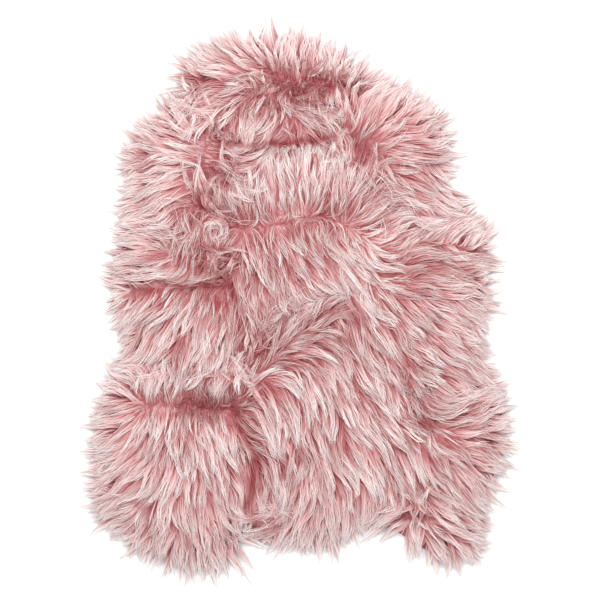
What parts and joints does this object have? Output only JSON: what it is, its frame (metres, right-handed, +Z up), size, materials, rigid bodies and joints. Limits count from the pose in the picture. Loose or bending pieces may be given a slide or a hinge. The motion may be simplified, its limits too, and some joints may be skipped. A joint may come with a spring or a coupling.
{
  "type": "shag rug",
  "caption": "Long-pile rug cut in the outline of a sheepskin, lying flat, with a lumpy tufted top, pointed pile locks round its rim and a flat underside.",
  "frame": {"origin": "centre of the bounding box in X and Y, on the underside of the rug, which lies on the floor", "axes": "+Z up, +Y along the rug towards its rounded head, +X to the right as seen from above with the head at the top"},
  "size_m": [0.7, 0.9, 0.064],
  "materials": {
    "pile": "long dusty pink pile, paler at its tips, with a soft sheen"
  },
  "bodies": {
    "root": {"pelt": "pile"}
  },
  "joints": []
}
